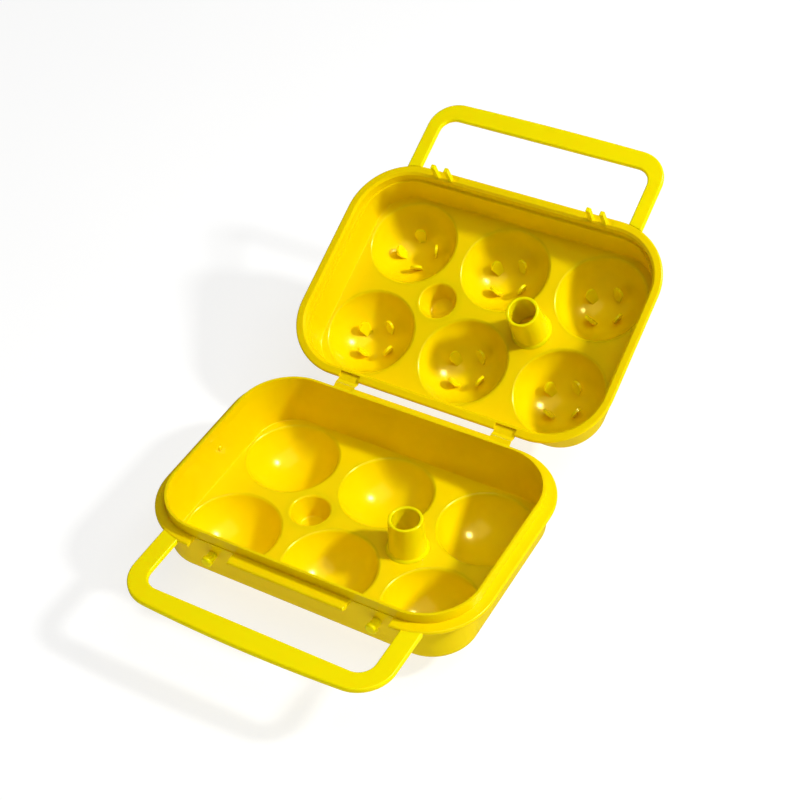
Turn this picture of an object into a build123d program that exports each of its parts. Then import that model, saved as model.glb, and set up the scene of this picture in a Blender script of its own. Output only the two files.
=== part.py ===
"""Folding six-egg keeper: two moulded trays on a pair of strap hinges, each tray with a carry handle.

Each half is drawn lying open with its inside up and its parting plane at z = 0, its front (the
handle side) towards +Y. Features at the front and at the hinge are turned half round for the
base, whose front faces -Y. Both halves are then set in the part's own frame: +X along the hinge,
+Y from the base towards the lid, +Z up, and the origin under the middle of the stored part.
"""
import os
from dataclasses import dataclass
from math import acos, cos, degrees, radians, sin, sqrt

from build123d import *

# ---- driving dimensions, mm and degrees ------------------------------------------------------
cup_pitch = 49.4            # the same both ways: three cups along the hinge, two across
side_margin = 30.6          # from the middle of an outer cup to the rim's edge, along the hinge
front_margin = 31.3         # and across it
rim_corner = 30.0
rim_thickness = 2.0
rim_round = 0.8
wall = 1.5
floor_wall = 1.6
base_floor = 21.0           # depth of the floor's top under the parting plane
lid_floor = 19.6
base_toe = 6.3              # inset of the outside wall at its bottom
base_toe_corner = 19.0
lid_toe = 6.1
lid_toe_corner = 19.5
toe_fillet = 3.0            # outside, where the wall turns into the floor
floor_fillet = 0.6          # inside

cup_mouth = 21.2            # radius where the bowl alone would meet the floor
cup_depth = 14.5
cup_bead = 1.8              # rounding of the mouth
cup_bead_stop = 100.0       # where the rounding stops, from the outward direction
cup_seam = 21.9             # radius at which a cup's piece meets the tray's piece
foot_radius = 4.4           # flat on which each cup stands

dimple_mouth = 8.6          # radius under its bead
dimple_bead = 1.2           # rounding of the mouth
dimple_end = 6.0
dimple_depth = 10.0
dimple_fillet = 1.2
dimple_seam = 0.7           # from the dimple's outside to where its piece meets the tray's piece

post_root = 8.5             # outside radius at the foot, above its flare
post_tip = 7.6              # outside radius at the end
post_flare = 1.2
post_wall = 1.5
post_fillet = 0.5
base_post_drop = 3.0        # end of the base's post below the parting plane
lid_post_rise = 1.0         # end of the lid's post above it

lip_outside = 4.9           # from the rim's edge to the outside of the base's upstand
lip_wall = 1.2
lip_height = 5.0
lip_clearance = 0.3         # between the upstand and the lid's mouth, all round
lip_recess = 5.4            # depth of the stepped mouth that takes the upstand
lip_lead = 1.1              # bevel round the lid's mouth that leads the upstand in
lip_step = 0.8              # width of that step

handle_span = 107.6         # inside width of both loops
base_handle_arm = 9.0
base_handle_grip = 7.7      # width of the grip at its ends
base_handle_bow = 2.6       # how far the grip's outside edge bows
base_handle_reach = 25.8    # inside reach from the rim's edge
base_handle_outer_corner = 16.6
base_handle_inner_corner = 7.5
lid_handle_arm = 6.9
lid_handle_grip = 8.4
lid_handle_bow = 0.9
lid_handle_reach = 27.8
lid_handle_outer_corner = 14.5
lid_handle_inner_corner = 7.2
handle_thickness = 2.6
handle_round = 0.8

hinge_gap = 2.8             # from a rim's edge to the fold
hinge_rise = 0.1            # fold above the parting plane: half the gap between the closed rims
hinge_place = 40.0
hinge_width = 10.2
hinge_notch = 3.0           # how far a strap is let into the rim
hinge_sink = 1.0            # top of the strap below the rim
hinge_leaf = 1.0
hinge_web = 0.35            # thickness at the fold
hinge_slack = 0.05          # half the slit left along the fold
ledge_step = 2.3            # the base's rim stands out by this between the straps
open_angle = 152.9          # between the two parting planes in the stored pose

latch_place = 40.0
stud_radius = 2.1           # neck that the prongs straddle
stud_head = 2.6             # radius of the button at its end
stud_drop = 7.2             # axis below the parting plane
stud_button = 1.9           # thickness of the button
stud_root = 0.7             # start of the stud inside the wall
stud_clearance = 0.6        # between the prongs and the button
window_inner = 28.2         # the base's rim is open between these two, so the forks can pass
window_outer = 48.6
window_skin = 0.1           # what the window leaves outside the wall
bar_step = 1.2              # the bar between the windows stands out from the rim
prong_width = 2.0
prong_thickness = 2.0
prong_height = 9.4
prong_foot = 1.5            # how far a prong is let into the rim
prong_stand = 0.5           # clearance between a prong and the base's wall
prong_clearance = 0.3       # between stud and prong, each side
barb = 0.25
barb_height = 0.9
ramp_width = 14.0           # sloping pocket in the lid's rim round a fork
ramp_drop = 1.1             # its depth at the mouth

petal_count = 4
petal_turn = 66.0           # direction of the first petal from +X
corner_petal_turn = 18.0    # and in the lid's front left cup
petal_ring = 7.3            # radius of the ring of petals at their roots
petal_width = 3.4           # at its root
petal_head = 2.8            # radius of its round head
petal_height = 8.0          # from the bowl to the tip, along the petal
petal_thickness = 1.2
petal_root = 0.9            # start of a petal inside the cup's wall
petal_lean = 17.0           # outwards


@dataclass(frozen=True)
class Half:
    """What differs between the base and the lid."""
    name: str
    turned: bool            # front towards -Y
    floor: float            # depth of the floor's top under the parting plane
    mouth: float            # inset of the inside wall at the parting plane
    toe: float              # inset of the outside wall at its bottom
    toe_corner: float
    post_end: float         # height of the post's end above the parting plane
    arm: float              # handle: width of an arm
    grip: float             # width of the grip at its ends
    bow: float              # how far the grip's outside edge bows
    reach: float            # inside reach from the rim's edge
    outer_corner: float
    inner_corner: float


base = Half("base", True, base_floor, lip_outside + lip_wall, base_toe, base_toe_corner,
            -base_post_drop, base_handle_arm, base_handle_grip, base_handle_bow, base_handle_reach,
            base_handle_outer_corner, base_handle_inner_corner)
lid = Half("lid", False, lid_floor, lip_outside - lip_clearance, lid_toe, lid_toe_corner,
           lid_post_rise, lid_handle_arm, lid_handle_grip, lid_handle_bow, lid_handle_reach,
           lid_handle_outer_corner, lid_handle_inner_corner)

rim_length = 2 * (cup_pitch + side_margin)
rim_width = cup_pitch + 2 * front_margin
cup_radius = (cup_mouth ** 2 + cup_depth ** 2) / (2 * cup_depth)
cup_rise = cup_radius - cup_depth       # centre of the bowl's sphere above the floor
cup_columns = {"left": -cup_pitch, "middle": 0.0, "right": cup_pitch}
cup_rows = {"front": cup_pitch / 2, "rear": -cup_pitch / 2}
sides = {"left": -1, "right": 1}
rim_edge = rim_width / 2
prong_near = rim_edge - base.mouth + wall + window_skin + prong_stand      # nearer face of the prongs
post_x = cup_pitch / 2
dimple_x = -cup_pitch / 2
MIN_Z = (Align.CENTER, Align.CENTER, Align.MIN)


# ---- drawing helpers -------------------------------------------------------------------------
def outline(inset, corner, height):
    """The rim's rounded rectangle, drawn in by inset and set at a height."""
    return Pos(0, 0, height) * RectangleRounded(rim_length - 2 * inset, rim_width - 2 * inset, corner)


def drafted(top_inset, bottom_inset, bottom_corner, depth):
    """A solid that tapers from the rim's shape to a smaller one."""
    top = outline(top_inset, rim_corner - top_inset, 0)
    return loft([top, outline(bottom_inset, bottom_corner, -depth)], ruled=True)


def revolved(lines):
    """A solid turned about Z from a closed profile in radius and height."""
    return revolve(Plane.XZ * make_face(lines), Axis.Z)


def lowest(solid):
    return solid.edges().group_by(Axis.Z)[0]


def slab(xs, ys, zs):
    """A box between two limits along each axis."""
    size = [high - low for low, high in (xs, ys, zs)]
    return Pos(xs[0], ys[0], zs[0]) * Box(*size, align=Align.MIN)


def cup_places(half):
    """Where the six cups lie: the front row is the one by the handle."""
    turn = -1 if half.turned else 1
    return {f"{row}_{column}": (x, turn * y) for row, y in cup_rows.items() for column, x in cup_columns.items()}


def facing(half, x, shape):
    """Set a shape drawn for a front at +Y at x, on the side the half's front faces."""
    if half.turned:
        return Rot(0, 0, 180) * Pos(-x, 0, 0) * shape
    return Pos(x, 0, 0) * shape


# ---- tray ------------------------------------------------------------------------------------
def bowl(half):
    """The space inside one cup, its mouth rounded into the floor."""
    floor = -half.floor
    centre = floor + cup_rise
    stop = radians(cup_bead_stop)
    bead_z = floor - cup_bead * sin(stop)
    reach = cup_radius + cup_bead
    bead_r = sqrt(reach ** 2 - (centre - bead_z) ** 2)
    share = cup_radius / reach
    touch = (bead_r * share, centre - (centre - bead_z) * share)
    bead_middle = (radians(degrees(acos(-bead_r / reach))) + stop) / 2
    half_turn = acos((centre - touch[1]) / cup_radius) / 2
    end = (bead_r + cup_bead * cos(stop), floor)
    over = (end[0], floor + rim_thickness)
    on_bead = (bead_r + cup_bead * cos(bead_middle), bead_z + cup_bead * sin(bead_middle))
    on_bowl = (cup_radius * sin(half_turn), centre - cup_radius * cos(half_turn))
    bottom = (0, centre - cup_radius)
    return revolved([
        ThreePointArc(bottom, on_bowl, touch),
        ThreePointArc(touch, on_bead, end),
        Line(end, over),
        Line(over, (0, over[1])),
        Line((0, over[1]), bottom),
    ])


def dome(half):
    """The outside of one cup, cut flat where it stands."""
    outside = cup_radius + floor_wall
    centre = -half.floor + cup_rise
    foot = centre - sqrt(outside ** 2 - foot_radius ** 2)
    slice_height = -half.floor - floor_wall / 2 - foot
    return Pos(0, 0, centre) * Sphere(outside) & Pos(0, 0, foot) * Cylinder(outside, slice_height, align=MIN_Z)


def dimple(half, skin, top):
    """The tapered recess between the cups: its space, or its outside when given a skin."""
    end = -half.floor - dimple_depth - skin
    if skin:
        side = [Line((dimple_mouth + skin, top), (dimple_end + skin, end))]
    else:
        mouth = (dimple_mouth + dimple_bead, -half.floor)
        neck = (dimple_mouth, -half.floor - dimple_bead)
        turn = dimple_bead * (1 - sqrt(0.5))
        side = [
            Line((mouth[0], top), mouth),
            ThreePointArc(mouth, (neck[0] + turn, mouth[1] - turn), neck),
            Line(neck, (dimple_end, end)),
        ]
    solid = revolved([Line((0, top), side[0] @ 0), *side, Line(side[-1] @ 1, (0, end)), Line((0, end), (0, top))])
    return Pos(dimple_x, 0, 0) * fillet(lowest(solid), dimple_fillet + skin)


def rim(half):
    """The flat rim, open at the latches and let in at the straps."""
    body = extrude(outline(0, rim_corner, 0), -rim_thickness)
    if half is base:
        bar = slab((-window_inner, window_inner), (0, rim_edge + bar_step), (-rim_thickness, 0))
        ledge = slab((-hinge_place, hinge_place), (-rim_edge - ledge_step, 0), (-rim_thickness, 0))
        body += facing(half, 0, bar + ledge)
    body = fillet(body.edges().filter_by(Plane.XY), rim_round)
    inset = half.mouth - wall - window_skin
    for side in sides.values():
        if half is base:
            window = slab((window_inner, window_outer), (rim_edge - inset, rim_width), (-rim_width, rim_width))
            body -= facing(half, 0, window if side > 0 else mirror(window, Plane.YZ))
        else:
            slope = make_face(Polyline((rim_edge, 0), (rim_edge - half.mouth, -ramp_drop),
                                       (rim_edge - half.mouth, rim_thickness), (rim_edge, rim_thickness), close=True))
            body -= Pos(side * latch_place, 0, 0) * extrude(Plane.YZ * slope, ramp_width / 2, both=True)
        strap = slab((-hinge_width / 2, hinge_width / 2), (-rim_width, hinge_notch - rim_edge), (-rim_width, rim_width))
        body -= facing(half, side * hinge_place, strap)
    return body


def tray(half):
    """Walls, floor, rim and dimple, with the cups still in one piece with them."""
    shell = drafted(half.mouth - wall, half.toe, half.toe_corner, half.floor + floor_wall)
    shell = fillet(lowest(shell), toe_fillet)
    step = lip_step if half is lid else 0.0
    space = drafted(half.mouth + step, half.toe + wall, half.toe_corner - wall, half.floor)
    space = fillet(lowest(space), floor_fillet)
    mouth = outline(half.mouth, rim_corner - half.mouth, 0)
    space += extrude(mouth, 2 * lip_height)
    body = shell + rim(half)
    if half is base:
        body += extrude(outline(lip_outside, rim_corner - lip_outside, -rim_round), lip_height + rim_round)
    else:
        space += extrude(mouth, -lip_recess)
        space += drafted(half.mouth - lip_lead, half.mouth, rim_corner - half.mouth, lip_lead)
    body += dimple(half, wall, -half.floor - floor_wall / 2)
    for x, y in cup_places(half).values():
        body += Pos(x, y, 0) * dome(half)
    body -= space
    body -= dimple(half, 0, rim_thickness - half.floor)
    for x, y in cup_places(half).values():
        body -= Pos(x, y, 0) * bowl(half)
    return body


# ---- parts of a half -------------------------------------------------------------------------
def post(half):
    """The tube that stands on the floor between the cups, opposite the dimple."""
    length = half.floor + half.post_end
    corners = [(post_root - post_wall, 0), (post_root + post_flare, 0), (post_root, post_flare),
               (post_tip, length), (post_tip - post_wall, length)]
    solid = revolved([Polyline(*corners, close=True)])
    solid = fillet(solid.edges().group_by(Axis.Z)[-1], post_fillet)
    return Pos(post_x, 0, -half.floor) * solid


def handle(half):
    """The loop that carries the keeper, level with the rim."""
    side = handle_span / 2 + half.arm
    start = rim_edge - hinge_gap * 2
    end = rim_edge + half.reach + half.grip
    outer = make_face([
        Line((-side, start), (-side, end)),
        ThreePointArc((-side, end), (0, end + half.bow), (side, end)),
        Line((side, end), (side, start)),
        Line((side, start), (-side, start)),
    ])
    outer = fillet(outer.vertices().group_by(Axis.Y)[-1], half.outer_corner)
    inner = make_face(Polyline((-handle_span / 2, 0), (-handle_span / 2, rim_edge + half.reach),
                               (handle_span / 2, rim_edge + half.reach), (handle_span / 2, 0), close=True))
    inner = fillet(inner.vertices().group_by(Axis.Y)[-1], half.inner_corner)
    loop = extrude(outer - inner, -handle_thickness)
    loop = fillet(loop.edges().filter_by(Plane.XY), handle_round)
    loop -= extrude(outline(0, rim_corner, rim_width), -2 * rim_width)
    return facing(half, 0, loop)


def hinge_strap(half, side):
    """One leaf of a strap hinge, thinned to a web where it folds."""
    fold = hinge_gap - hinge_slack
    crest = hinge_rise - hinge_slack
    corners = [(-hinge_notch, -hinge_sink), (hinge_gap / 3, -hinge_sink), (fold, crest),
               (fold, crest - hinge_web), (hinge_gap / 3, -hinge_sink - hinge_leaf),
               (-hinge_notch, -hinge_sink - hinge_leaf)]
    face = Plane.YZ * make_face(Polyline(*[(-rim_edge - y, z) for y, z in corners], close=True))
    return facing(half, side * hinge_place, extrude(face, hinge_width / 2, both=True))


def stud(side, body):
    """The peg on the base's front wall that a fork snaps over."""
    top, bottom = base.mouth - wall, base.toe
    inset = top + (bottom - top) * stud_drop / (base.floor + floor_wall)
    start = rim_edge - inset - stud_root
    neck = prong_near + prong_thickness + stud_clearance - start
    button = Pos(0, 0, neck) * Cylinder(stud_head, stud_button, align=MIN_Z)
    button = fillet(button.edges().group_by(Axis.Z)[-1], stud_button / 2)
    peg = Cylinder(stud_radius, neck, align=MIN_Z) + button
    peg = Pos(0, start, -stud_drop) * Rot(-90, 0, 0) * peg
    return facing(base, side * latch_place, peg) - body


def fork(side, body):
    """Two prongs on the lid's front wall, with a small barb at each tip."""
    inner = stud_radius + prong_clearance
    tip = prong_height
    corners = [(inner, -prong_foot), (inner, tip - 2 * barb_height), (inner - barb, tip - barb_height),
               (inner + barb, tip), (inner + prong_width, tip), (inner + prong_width, -prong_foot)]
    face = Plane.XZ * make_face(Polyline(*corners, close=True))
    prong = Pos(0, prong_near, 0) * extrude(face, -prong_thickness)
    pair = [facing(lid, side * latch_place, p) - body for p in (prong, mirror(prong, Plane.YZ))]
    return Compound(children=pair)


def petals(place, x, y, cup):
    """Springy paddle-shaped fingers round the bottom of a lid cup that steady the egg."""
    widest = petal_height + petal_root - petal_head
    blade = make_face(Polyline((-petal_width / 2, 0), (petal_width / 2, 0), (petal_head, widest),
                               (-petal_head, widest), close=True)) + Pos(0, widest) * Circle(petal_head)
    petal = Rot(0, petal_lean, 0) * Rot(0, 0, 90) * extrude(Plane.XZ * blade, petal_thickness / 2, both=True)
    centre = cup_rise - lid.floor
    bottom = centre - sqrt(cup_radius ** 2 - petal_ring ** 2) - petal_root
    turn = corner_petal_turn if place == "front_left" else petal_turn
    spots = [Rot(0, 0, turn + i * 360 / petal_count) * Pos(petal_ring, 0, bottom) for i in range(petal_count)]
    return Compound(children=[Pos(x, y, 0) * spot * petal - cup for spot in spots])


def parted(half, body, x, y, radius):
    """A round piece of the moulding, and what is left of it."""
    seam = Pos(x, y, -rim_width) * Cylinder(radius, rim_width + rim_thickness - half.floor, align=MIN_Z)
    return body & seam, body - seam


def half_pieces(half):
    """Every piece of one half by name, still in the half's own frame."""
    body = tray(half)
    pieces = {}
    fingers = {}
    for place, (x, y) in cup_places(half).items():
        cup, body = parted(half, body, x, y, cup_seam)
        pieces[f"{half.name}_cup_{place}"] = cup
        if half is lid:
            fingers[f"lid_fingers_{place}"] = petals(place, x, y, cup)
    pieces[f"{half.name}_dimple"], body = parted(half, body, dimple_x, 0, dimple_mouth + wall + dimple_seam)
    for name, side in sides.items():
        if half is base:
            pieces[f"base_stud_{name}"] = stud(side, body)
        else:
            pieces[f"lid_fork_{name}"] = fork(side, body)
        pieces[f"{half.name}_hinge_{name}"] = hinge_strap(half, side)
    pieces[f"{half.name}_post"] = post(half)
    pieces[f"{half.name}_handle"] = handle(half)
    return {f"{half.name}_tray": body, **pieces, **fingers}


def main():
    """Swing the open lid up to its stored angle and save every piece in the part's frame."""
    fold = rim_edge + hinge_gap
    tilt = 180 - open_angle
    swing = Pos(0, fold, hinge_rise) * Rot(tilt, 0, 0) * Pos(0, fold, -hinge_rise)
    pieces = half_pieces(base)
    pieces |= {name: swing * piece for name, piece in half_pieces(lid).items()}
    box = Compound(children=[Compound(p.wrapped) for p in pieces.values()]).bounding_box()
    middle = Pos(-(box.min.X + box.max.X) / 2, -(box.min.Y + box.max.Y) / 2, -box.min.Z)
    os.makedirs("parts", exist_ok=True)
    for name, piece in pieces.items():
        export_step(middle * piece, f"parts/{name}.step")


main()
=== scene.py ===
# %% [markdown]
# # A folding egg keeper in glossy yellow polypropylene
#
# The keeper is two moulded trays on a pair of strap hinges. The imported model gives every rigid
# piece at its real size, so it is loaded first and stays where it is. What this file adds is what
# the eye gets from the real thing: its plastic, the mark of its mould, and the light round it.

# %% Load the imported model
from math import cos, radians, sin

import bpy
from mathutils import Matrix, Vector


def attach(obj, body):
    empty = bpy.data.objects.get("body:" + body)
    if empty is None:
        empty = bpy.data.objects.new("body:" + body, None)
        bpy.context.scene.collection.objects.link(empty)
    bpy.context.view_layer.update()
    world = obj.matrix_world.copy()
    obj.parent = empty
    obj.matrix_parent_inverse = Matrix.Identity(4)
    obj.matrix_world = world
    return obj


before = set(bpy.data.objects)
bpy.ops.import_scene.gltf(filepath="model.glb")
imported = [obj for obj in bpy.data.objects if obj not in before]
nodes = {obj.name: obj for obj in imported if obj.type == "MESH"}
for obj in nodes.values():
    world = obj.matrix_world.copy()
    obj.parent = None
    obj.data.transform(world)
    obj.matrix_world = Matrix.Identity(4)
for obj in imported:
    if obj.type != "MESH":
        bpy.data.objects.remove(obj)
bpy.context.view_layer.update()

print("pieces in the model:", len(nodes))


# %% [markdown]
# ## The camera
#
# The keeper is seen from above its front right, with a long lens, so that the far rim is hardly
# smaller than the near one. The camera is built from three directions at right angles: backwards,
# sideways and up. A small roll tips the picture a little.

# %% Place the camera
azimuth, elevation, roll = radians(32.67), radians(42.57), radians(4.55)
rim_middle = Vector((0.0, -0.05144, 0.03670))       # middle of the base's rim in the model's frame
seen_from = Vector((0.2933, -0.4157, 0.5198)) + rim_middle
sensor_width, focal_share = 36.0, 1697.9 / 800      # focal length as a share of the picture's width

back = Vector((sin(azimuth) * cos(elevation), -cos(azimuth) * cos(elevation), sin(elevation)))
sideways = Vector((cos(azimuth), sin(azimuth), 0.0))
upwards = back.cross(sideways)
right = cos(roll) * sideways - sin(roll) * upwards
top = sin(roll) * sideways + cos(roll) * upwards

bpy.ops.object.camera_add(location=seen_from)
camera = bpy.context.object
camera.name = "camera"
camera.rotation_euler = Matrix((right, top, back)).transposed().to_euler()
camera.data.sensor_width = sensor_width
camera.data.lens = sensor_width * focal_share
bpy.context.scene.camera = camera
print("lens", round(camera.data.lens, 1), "mm")


# %% [markdown]
# ## Helpers for materials
#
# A colour is written as the sRGB hex value that a colour picker shows, and the renderer works in
# linear light, so one function turns the one into the other. A second adds a node to a material,
# sets its values and links it, which keeps each recipe below down to one line a node.

# %% Helpers for colours and nodes
def linear(hex_colour):
    channels = [int(hex_colour[i:i + 2], 16) / 255 for i in (1, 3, 5)]
    return [c / 12.92 if c <= 0.04045 else ((c + 0.055) / 1.055) ** 2.4 for c in channels] + [1.0]


def add_node(material, kind, links=(), **settings):
    tree = material.node_tree
    node = tree.nodes.new(kind)
    for key, value in settings.items():
        if hasattr(node, key):
            setattr(node, key, value)
        else:
            node.inputs[key.replace("_", " ")].default_value = value
    for socket, source in dict(links).items():
        tree.links.new(source, node.inputs[socket])
    return node


# %% [markdown]
# ## Yellow polypropylene, moulded glossy
#
# Polypropylene (IOR about 1.49) is slightly cloudy, so light goes a millimetre or two into a thin
# wall and comes out warmer: that is the subsurface part. A polished mould leaves a gloss that is
# never quite flat. Two patterns bend it: a slow waviness 18 mm long where the wall shrank as it
# cooled, and a faint grain 0.9 mm across, drawn coarser than it is so that it shows.
#
# There are two versions. Handles, posts, fingers and latch parts are slim and let more light
# through.
# They also get a lighter, more lemon colour than the walls. That colour is painted glow: it stands
# in for light shining through the thin parts. Walls, cups and hinges keep the deeper colour and are
# less cloudy, because with more of it the seams between the pieces of one moulding show as dark
# lines.

# %% Make the plastic
polypropylene_ior = 1.49
polypropylene_gloss = 0.42                          # a little less than the 0.5 that the IOR gives
warm_reflection = "#FFE87A"
light_spread = (1.0, 0.75, 0.03)                    # shares of the depth for red, green and blue
drift_length, wave_length, grain_length = 0.045, 0.018, 0.0009
smoothest, roughest = 0.15, 0.22
wave_strength, wave_height = 0.25, 0.0006
grain_strength, grain_height = 0.08, 0.00005


def yellow_polypropylene(name, dark, light, cloudiness, depth):
    material = bpy.data.materials.new(name)
    material.use_nodes = True
    tree = material.node_tree
    surface = tree.nodes["Principled BSDF"]
    place = add_node(material, "ShaderNodeTexCoord").outputs["Object"]
    drift = add_node(material, "ShaderNodeTexNoise", {"Vector": place},
                     Scale=1 / drift_length, Detail=2.0)
    colour = add_node(material, "ShaderNodeMix", {"Factor": drift.outputs["Fac"]}, data_type="RGBA")
    colour.inputs["A"].default_value = linear(dark)
    colour.inputs["B"].default_value = linear(light)
    tree.links.new(colour.outputs["Result"], surface.inputs["Base Color"])
    wave = add_node(material, "ShaderNodeTexNoise", {"Vector": place},
                    Scale=1 / wave_length, Detail=1.0)
    grain = add_node(material, "ShaderNodeTexNoise", {"Vector": place},
                     Scale=1 / grain_length, Detail=2.0)
    shine = add_node(material, "ShaderNodeMapRange", {"Value": drift.outputs["Fac"]},
                     To_Min=smoothest, To_Max=roughest)
    tree.links.new(shine.outputs["Result"], surface.inputs["Roughness"])
    slow = add_node(material, "ShaderNodeBump", {"Height": wave.outputs["Fac"]},
                    Strength=wave_strength, Distance=wave_height)
    fine = add_node(material, "ShaderNodeBump",
                    {"Height": grain.outputs["Fac"], "Normal": slow.outputs["Normal"]},
                    Strength=grain_strength, Distance=grain_height)
    tree.links.new(fine.outputs["Normal"], surface.inputs["Normal"])
    surface.inputs["IOR"].default_value = polypropylene_ior
    surface.inputs["Specular Tint"].default_value = linear(warm_reflection)
    surface.inputs["Specular IOR Level"].default_value = polypropylene_gloss
    surface.inputs["Subsurface Weight"].default_value = cloudiness
    surface.inputs["Subsurface Radius"].default_value = light_spread
    surface.inputs["Subsurface Scale"].default_value = depth
    return material


wall_plastic = yellow_polypropylene("yellow_polypropylene_walls", dark="#F4D400", light="#F6DA00",
                                    cloudiness=0.3, depth=0.0025)
# the slim parts' lighter lemon colour is painted glow: light through thin plastic, painted into the
# colour
slim_plastic_painted_glow = yellow_polypropylene("yellow_polypropylene_slim_parts_painted_glow", dark="#FFE600",
                                    light="#FFEC00", cloudiness=0.5, depth=0.002)
slim_kinds = ("handle", "post", "fingers", "fork", "stud")
for name, node in nodes.items():
    slim = any(kind in name for kind in slim_kinds)
    for slot in node.material_slots:
        slot.material = slim_plastic_painted_glow if slim else wall_plastic
print("materials:", wall_plastic.name, slim_plastic_painted_glow.name)


# %% [markdown]
# ## The mark of the mould
#
# Where plastic was fed in or a pin pushed the tray out, a moulding keeps a small button. This one
# sits inside the base's left wall. It is drawn as a disc that is pulled up into a low dome, turned
# to stand on the sloping wall, and it moves with the base.

# %% Make the moulding button
button_place = Vector((-0.07334, -0.04771, 0.02991))
wall_normal = Vector((0.997, 0.0, 0.081)).normalized()
button_radius, button_rise = 0.0013, 0.0008
dome_steps = ((0.5, 0.92), (0.35, 0.78), (0.15, 0.5))   # share of the rise, width against the last

bpy.ops.object.select_all(action="DESELECT")
bpy.ops.mesh.primitive_circle_add(vertices=28, radius=button_radius, fill_type="NGON")
button = bpy.context.object
button.name = "base_moulding_button"
bpy.ops.object.mode_set(mode="EDIT")
bpy.ops.mesh.select_all(action="SELECT")
for share, width in dome_steps:
    lift = (0, 0, share * button_rise)
    bpy.ops.mesh.extrude_region_move(TRANSFORM_OT_translate={"value": lift})
    bpy.ops.transform.resize(value=(width, width, 1.0))
bpy.ops.mesh.select_all(action="SELECT")
bpy.ops.mesh.normals_make_consistent(inside=False)
bpy.ops.object.mode_set(mode="OBJECT")
bpy.ops.object.shade_smooth_by_angle(angle=radians(50))
button.rotation_euler = wall_normal.to_track_quat("Z", "Y").to_euler()
button.location = button_place
bpy.ops.object.transform_apply(location=True, rotation=True, scale=True)
button.data.materials.append(wall_plastic)
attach(button, "base")
print("moulding button:", len(button.data.polygons), "faces")


# %% [markdown]
# ## Floor and light
#
# The keeper stands on a white table that is lit from within, as for a catalogue, so its shadows
# stay pale. A small key lamp on the right, a little behind and 40 degrees up, draws the round
# shadows in the cups. A lamp a metre wide overhead keeps those shadows open, and the room adds a
# little white from all round. A third lamp, the sparkle, makes the cups' highlights.
#
# Real studios flag a lamp off from one surface and aim it at another. Here the same is done with
# visibility: the key isn't mirrored in the plastic, the sparkle is seen in reflections only,
# and the bright table isn't mirrored, which keeps the front wall a deep yellow.

# %% Lay the floor
floor_size = 60.0                                   # metres, so the edge lies far behind the keeper
table_glow = 0.75

bpy.ops.object.select_all(action="DESELECT")
bpy.ops.mesh.primitive_plane_add(size=floor_size, location=(0, 0, 0))
floor = bpy.context.object
floor.name = "floor"
floor.visible_glossy = False

paper = bpy.data.materials.new("white_studio_paper")
paper.use_nodes = True
paper_surface = paper.node_tree.nodes["Principled BSDF"]
fibres = add_node(paper, "ShaderNodeTexNoise", Scale=400.0, Detail=3.0)
paper_grey = add_node(paper, "ShaderNodeMix", {"Factor": fibres.outputs["Fac"]}, data_type="RGBA")
paper_grey.inputs["A"].default_value = linear("#979796")
paper_grey.inputs["B"].default_value = linear("#9C9C9B")
paper.node_tree.links.new(paper_grey.outputs["Result"], paper_surface.inputs["Base Color"])
paper_surface.inputs["Roughness"].default_value = 0.9
paper_surface.inputs["Emission Color"].default_value = linear("#FFFFFF")
paper_surface.inputs["Emission Strength"].default_value = table_glow
floor.data.materials.append(paper)


# %% Set the lamps and the room
lamps_aim_at = Vector((0.0, 0.0, 0.03))
room_glow = 0.12


def lamp(name, direction, distance, size, watts):
    towards = Vector(direction).normalized()
    bpy.ops.object.light_add(type="AREA", location=lamps_aim_at + towards * distance)
    light = bpy.context.object
    light.name = name
    light.rotation_euler = towards.to_track_quat("Z", "Y").to_euler()
    light.data.size = size
    light.data.energy = watts
    return light


key = lamp("key", (0.77, 0.21, 0.69), distance=1.3, size=0.12, watts=14.0)
key.visible_glossy = False
sparkle = lamp("sparkle", (0.46, 0.335, 0.825), distance=1.3, size=0.19, watts=20.0)
sparkle.visible_diffuse = False
lamp("overhead", (0.3, -0.1, 1.0), distance=1.5, size=1.0, watts=7.6)

room = bpy.context.scene.world or bpy.data.worlds.new("room")
bpy.context.scene.world = room
room.use_nodes = True
background = room.node_tree.nodes["Background"]
background.inputs["Color"].default_value = linear("#FFFFFF")
background.inputs["Strength"].default_value = room_glow
bpy.context.scene.view_settings.view_transform = "Standard"
